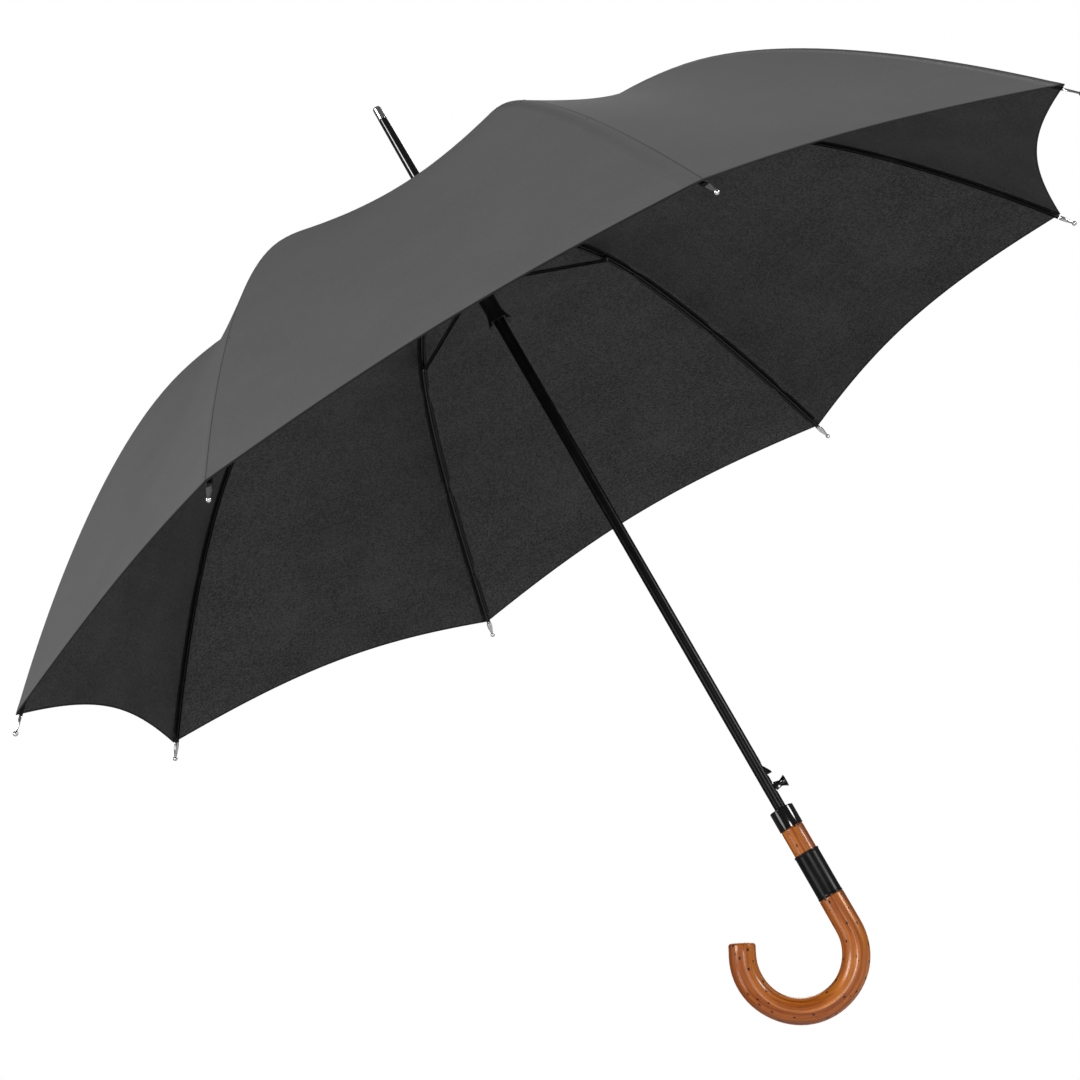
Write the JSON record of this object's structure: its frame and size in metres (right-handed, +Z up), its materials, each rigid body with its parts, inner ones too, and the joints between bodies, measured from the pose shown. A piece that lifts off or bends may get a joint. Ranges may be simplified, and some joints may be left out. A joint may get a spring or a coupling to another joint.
{
  "type": "stick umbrella",
  "caption": "Stick umbrella that opens by itself: a shallow cloth canopy on hinged ribs and stretchers, a sliding runner, a sprung catch with a button, and a bent wooden crook handle.",
  "frame": {"origin": "On the shaft's axis, at the middle of the band round the handle, where a hand holds the umbrella (mount grip).", "axes": "+Z up the shaft towards the ferrule; the crook bends towards -X, and the catch and the release button face +X."},
  "size_m": [1.0152, 1.0152, 0.8826],
  "materials": {
    "crook_wood": "varnished, glossy",
    "band_plastic": "semi-gloss sleeve with rolled edges",
    "gloss_plastic": "gloss black",
    "carrier_plastic": "moulded black",
    "shaft_steel": "black enamel, satin",
    "rib_steel": "black enamel, satin",
    "bright_metal": "polished",
    "spring_steel": "drawn wire",
    "canopy_cloth": "fine woven grey, black coated inside"
  },
  "bodies": {
    "handle_and_shaft": {"handle_crook": "crook_wood", "handle_band": "band_plastic", "handle_collar": "gloss_plastic", "shaft_tube": "shaft_steel", "lever_pin": "spring_steel", "button_spring": "spring_steel", "opening_spring": "spring_steel", "top_notch": "carrier_plastic", "notch_wire": "spring_steel", "crown_cap": "gloss_plastic", "ferrule_tube": "gloss_plastic", "spring_anchor_pin": "spring_steel", "ferrule_cap": "bright_metal"},
    "button": {"release_button": "shaft_steel"},
    "catch": {"catch_lever": "shaft_steel"},
    "runner": {"runner": "carrier_plastic", "runner_wire": "spring_steel", "runner_pin": "spring_steel"},
    "rib_1_inner": {"rib_inner_1": "rib_steel"},
    "rib_1_outer": {"rib_outer_1": "rib_steel", "rib_tip_1": "bright_metal", "canopy_panel_1": "canopy_cloth"},
    "stretcher_1": {"stretcher_1": "rib_steel"},
    "rib_2_inner": {"rib_inner_2": "rib_steel"},
    "rib_2_outer": {"rib_outer_2": "rib_steel", "rib_tip_2": "bright_metal", "canopy_panel_2": "canopy_cloth"},
    "stretcher_2": {"stretcher_2": "rib_steel"},
    "rib_3_inner": {"rib_inner_3": "rib_steel"},
    "rib_3_outer": {"rib_outer_3": "rib_steel", "rib_tip_3": "bright_metal", "canopy_panel_3": "canopy_cloth"},
    "stretcher_3": {"stretcher_3": "rib_steel"},
    "rib_4_inner": {"rib_inner_4": "rib_steel"},
    "rib_4_outer": {"rib_outer_4": "rib_steel", "rib_tip_4": "bright_metal", "canopy_panel_4": "canopy_cloth", "closure_strap": "canopy_cloth", "strap_stud": "bright_metal"},
    "stretcher_4": {"stretcher_4": "rib_steel"},
    "rib_5_inner": {"rib_inner_5": "rib_steel"},
    "rib_5_outer": {"rib_outer_5": "rib_steel", "rib_tip_5": "bright_metal", "canopy_panel_5": "canopy_cloth"},
    "stretcher_5": {"stretcher_5": "rib_steel"},
    "rib_6_inner": {"rib_inner_6": "rib_steel"},
    "rib_6_outer": {"rib_outer_6": "rib_steel", "rib_tip_6": "bright_metal", "canopy_panel_6": "canopy_cloth"},
    "stretcher_6": {"stretcher_6": "rib_steel"},
    "rib_7_inner": {"rib_inner_7": "rib_steel"},
    "rib_7_outer": {"rib_outer_7": "rib_steel", "rib_tip_7": "bright_metal", "canopy_panel_7": "canopy_cloth"},
    "stretcher_7": {"stretcher_7": "rib_steel"},
    "rib_8_inner": {"rib_inner_8": "rib_steel"},
    "rib_8_outer": {"rib_outer_8": "rib_steel", "rib_tip_8": "bright_metal", "canopy_panel_8": "canopy_cloth"},
    "stretcher_8": {"stretcher_8": "rib_steel"}
  },
  "joints": [
    {"name": "button_press", "type": "slide", "parent": "handle_and_shaft", "child": "button", "axis": [-1, 0, 0], "range_m": [0, 0.00365], "stiffness_N_per_m": 900, "springref_m": -0.0012, "deforming": ["button_spring"]},
    {"name": "catch_swing", "type": "hinge", "parent": "handle_and_shaft", "child": "catch", "pos_m": [0.0022, 0, 0.052], "axis": [0, -1, 0], "range_deg": [0, 7.3]},
    {"name": "fold_1", "type": "hinge", "parent": "handle_and_shaft", "child": "rib_1_inner", "pos_m": [0.00972, -0.00515, 0.646], "axis": [0.4679, 0.8838, 0], "range_deg": [0, 81], "stiffness_Nm_per_rad": 0.6, "springref_deg": -143.24, "deforming": ["opening_spring", "canopy_panel_1", "canopy_panel_2", "canopy_panel_3", "canopy_panel_4", "canopy_panel_5", "canopy_panel_6", "canopy_panel_7", "canopy_panel_8", "closure_strap"]},
    {"name": "flex_1", "type": "hinge", "parent": "rib_1_inner", "child": "rib_1_outer", "pos_m": [0.23697, -0.12547, 0.62175], "axis": [0.4679, 0.8838, 0], "range_deg": [-29, 0]},
    {"name": "stretcher_hinge_1", "type": "hinge", "parent": "rib_1_inner", "child": "stretcher_1", "pos_m": [0.23576, -0.12483, 0.618], "axis": [0.4679, 0.8838, 0], "range_deg": [-162, 0]},
    {"name": "fold_2", "type": "hinge", "parent": "handle_and_shaft", "child": "rib_2_inner", "pos_m": [0.01051, 0.00323, 0.646], "axis": [-0.294, 0.9558, 0], "range_deg": [0, 81]},
    {"name": "flex_2", "type": "hinge", "parent": "rib_2_inner", "child": "rib_2_outer", "pos_m": [0.25629, 0.07884, 0.62175], "axis": [-0.294, 0.9558, 0], "range_deg": [-29, 0]},
    {"name": "stretcher_hinge_2", "type": "hinge", "parent": "rib_2_inner", "child": "stretcher_2", "pos_m": [0.25498, 0.07844, 0.618], "axis": [-0.294, 0.9558, 0], "range_deg": [-162, 0]},
    {"name": "fold_3", "type": "hinge", "parent": "handle_and_shaft", "child": "rib_3_inner", "pos_m": [0.00515, 0.00972, 0.646], "axis": [-0.8838, 0.4679, 0], "range_deg": [0, 81]},
    {"name": "flex_3", "type": "hinge", "parent": "rib_3_inner", "child": "rib_3_outer", "pos_m": [0.12547, 0.23697, 0.62175], "axis": [-0.8838, 0.4679, 0], "range_deg": [-29, 0]},
    {"name": "stretcher_hinge_3", "type": "hinge", "parent": "rib_3_inner", "child": "stretcher_3", "pos_m": [0.12483, 0.23576, 0.618], "axis": [-0.8838, 0.4679, 0], "range_deg": [-162, 0]},
    {"name": "fold_4", "type": "hinge", "parent": "handle_and_shaft", "child": "rib_4_inner", "pos_m": [-0.00323, 0.01051, 0.646], "axis": [-0.9558, -0.294, 0], "range_deg": [0, 81]},
    {"name": "flex_4", "type": "hinge", "parent": "rib_4_inner", "child": "rib_4_outer", "pos_m": [-0.07884, 0.25629, 0.62175], "axis": [-0.9558, -0.294, 0], "range_deg": [-29, 0]},
    {"name": "stretcher_hinge_4", "type": "hinge", "parent": "rib_4_inner", "child": "stretcher_4", "pos_m": [-0.07844, 0.25498, 0.618], "axis": [-0.9558, -0.294, 0], "range_deg": [-162, 0]},
    {"name": "fold_5", "type": "hinge", "parent": "handle_and_shaft", "child": "rib_5_inner", "pos_m": [-0.00972, 0.00515, 0.646], "axis": [-0.4679, -0.8838, 0], "range_deg": [0, 81]},
    {"name": "flex_5", "type": "hinge", "parent": "rib_5_inner", "child": "rib_5_outer", "pos_m": [-0.23697, 0.12547, 0.62175], "axis": [-0.4679, -0.8838, 0], "range_deg": [-29, 0]},
    {"name": "stretcher_hinge_5", "type": "hinge", "parent": "rib_5_inner", "child": "stretcher_5", "pos_m": [-0.23576, 0.12483, 0.618], "axis": [-0.4679, -0.8838, 0], "range_deg": [-162, 0]},
    {"name": "fold_6", "type": "hinge", "parent": "handle_and_shaft", "child": "rib_6_inner", "pos_m": [-0.01051, -0.00323, 0.646], "axis": [0.294, -0.9558, 0], "range_deg": [0, 81]},
    {"name": "flex_6", "type": "hinge", "parent": "rib_6_inner", "child": "rib_6_outer", "pos_m": [-0.25629, -0.07884, 0.62175], "axis": [0.294, -0.9558, 0], "range_deg": [-29, 0]},
    {"name": "stretcher_hinge_6", "type": "hinge", "parent": "rib_6_inner", "child": "stretcher_6", "pos_m": [-0.25498, -0.07844, 0.618], "axis": [0.294, -0.9558, 0], "range_deg": [-162, 0]},
    {"name": "fold_7", "type": "hinge", "parent": "handle_and_shaft", "child": "rib_7_inner", "pos_m": [-0.00515, -0.00972, 0.646], "axis": [0.8838, -0.4679, 0], "range_deg": [0, 81]},
    {"name": "flex_7", "type": "hinge", "parent": "rib_7_inner", "child": "rib_7_outer", "pos_m": [-0.12547, -0.23697, 0.62175], "axis": [0.8838, -0.4679, 0], "range_deg": [-29, 0]},
    {"name": "stretcher_hinge_7", "type": "hinge", "parent": "rib_7_inner", "child": "stretcher_7", "pos_m": [-0.12483, -0.23576, 0.618], "axis": [0.8838, -0.4679, 0], "range_deg": [-162, 0]},
    {"name": "fold_8", "type": "hinge", "parent": "handle_and_shaft", "child": "rib_8_inner", "pos_m": [0.00323, -0.01051, 0.646], "axis": [0.9558, 0.294, 0], "range_deg": [0, 81]},
    {"name": "flex_8", "type": "hinge", "parent": "rib_8_inner", "child": "rib_8_outer", "pos_m": [0.07884, -0.25629, 0.62175], "axis": [0.9558, 0.294, 0], "range_deg": [-29, 0]},
    {"name": "stretcher_hinge_8", "type": "hinge", "parent": "rib_8_inner", "child": "stretcher_8", "pos_m": [0.07844, -0.25498, 0.618], "axis": [0.9558, 0.294, 0], "range_deg": [-162, 0]},
    {"name": "runner_hinge", "type": "hinge", "parent": "stretcher_1", "child": "runner", "pos_m": [0.00972, -0.00515, 0.59], "axis": [0.4679, 0.8838, 0], "range_deg": [0, 81]}
  ],
  "couplings": [
    {"joint": "catch_swing", "follows": "button_press", "rad_per_m": 34.9},
    {"joint": "flex_1", "follows": "fold_1", "ratio": -0.358},
    {"joint": "stretcher_hinge_1", "follows": "fold_1", "ratio": -2},
    {"joint": "fold_2", "follows": "fold_1", "ratio": 1},
    {"joint": "flex_2", "follows": "fold_1", "ratio": -0.358},
    {"joint": "stretcher_hinge_2", "follows": "fold_1", "ratio": -2},
    {"joint": "fold_3", "follows": "fold_1", "ratio": 1},
    {"joint": "flex_3", "follows": "fold_1", "ratio": -0.358},
    {"joint": "stretcher_hinge_3", "follows": "fold_1", "ratio": -2},
    {"joint": "fold_4", "follows": "fold_1", "ratio": 1},
    {"joint": "flex_4", "follows": "fold_1", "ratio": -0.358},
    {"joint": "stretcher_hinge_4", "follows": "fold_1", "ratio": -2},
    {"joint": "fold_5", "follows": "fold_1", "ratio": 1},
    {"joint": "flex_5", "follows": "fold_1", "ratio": -0.358},
    {"joint": "stretcher_hinge_5", "follows": "fold_1", "ratio": -2},
    {"joint": "fold_6", "follows": "fold_1", "ratio": 1},
    {"joint": "flex_6", "follows": "fold_1", "ratio": -0.358},
    {"joint": "stretcher_hinge_6", "follows": "fold_1", "ratio": -2},
    {"joint": "fold_7", "follows": "fold_1", "ratio": 1},
    {"joint": "flex_7", "follows": "fold_1", "ratio": -0.358},
    {"joint": "stretcher_hinge_7", "follows": "fold_1", "ratio": -2},
    {"joint": "fold_8", "follows": "fold_1", "ratio": 1},
    {"joint": "flex_8", "follows": "fold_1", "ratio": -0.358},
    {"joint": "stretcher_hinge_8", "follows": "fold_1", "ratio": -2},
    {"joint": "runner_hinge", "follows": "fold_1", "ratio": 1}
  ]
}
